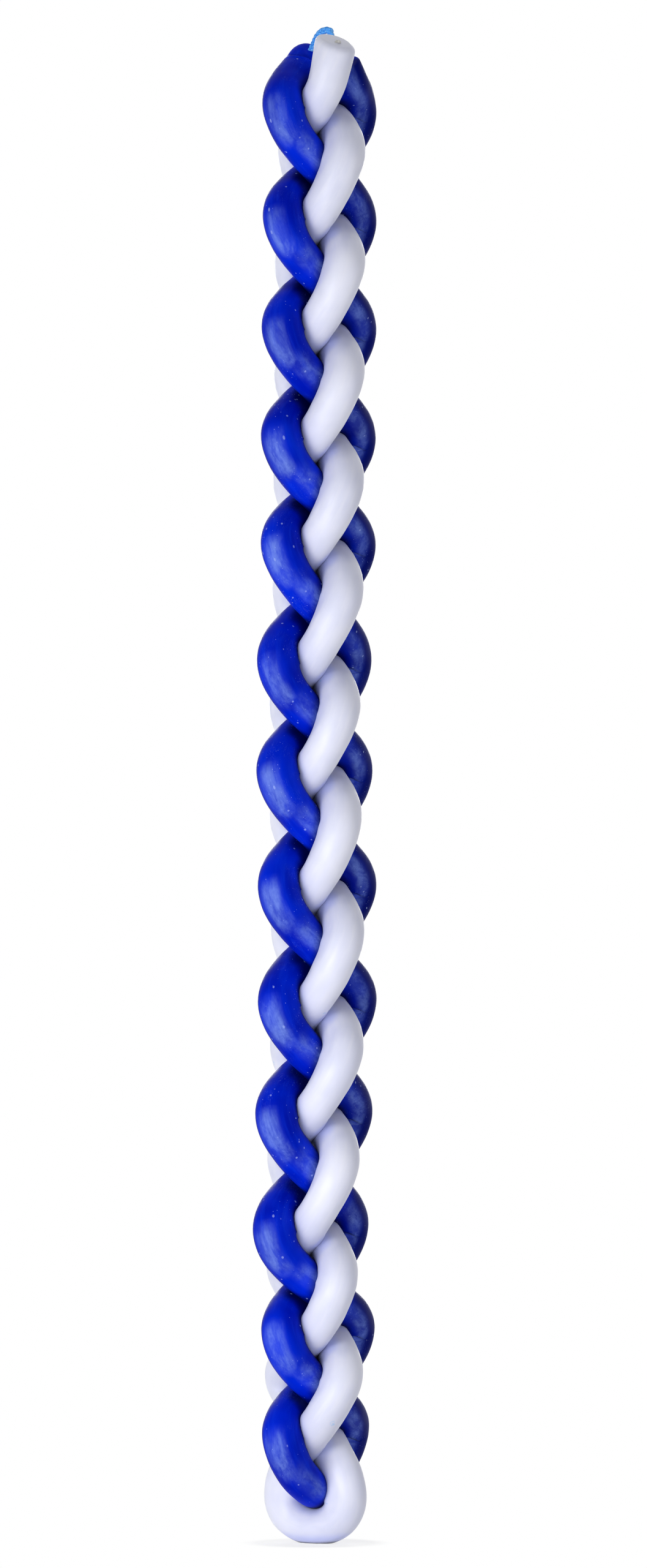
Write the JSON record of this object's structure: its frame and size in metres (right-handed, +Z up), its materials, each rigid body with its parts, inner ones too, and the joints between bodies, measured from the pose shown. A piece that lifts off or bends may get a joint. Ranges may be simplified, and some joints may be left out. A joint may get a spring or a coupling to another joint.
{
  "type": "havdalah candle",
  "caption": "Tall braided havdalah candle: a blue and a white wax taper, each folded in half and plaited into one round braid, with a bare wick at the top.",
  "frame": {"origin": "middle of the base, under the lowest point of the white fold", "axes": "+Z up along the candle, +X to the right and +Y away from the viewer of the front view, in which the blue strands bulge to the left"},
  "size_m": [0.0232, 0.0291, 0.3],
  "materials": {
    "blue_wax": "satin candle wax with a pale bloom",
    "white_wax": "satin translucent candle wax",
    "blue_wick": "plaited cotton soaked with blue wax",
    "white_wick": "plaited cotton"
  },
  "bodies": {
    "root": {"blue_taper": "blue_wax", "white_taper": "white_wax", "blue_wick": "blue_wick", "white_wick": "white_wick"}
  },
  "joints": []
}
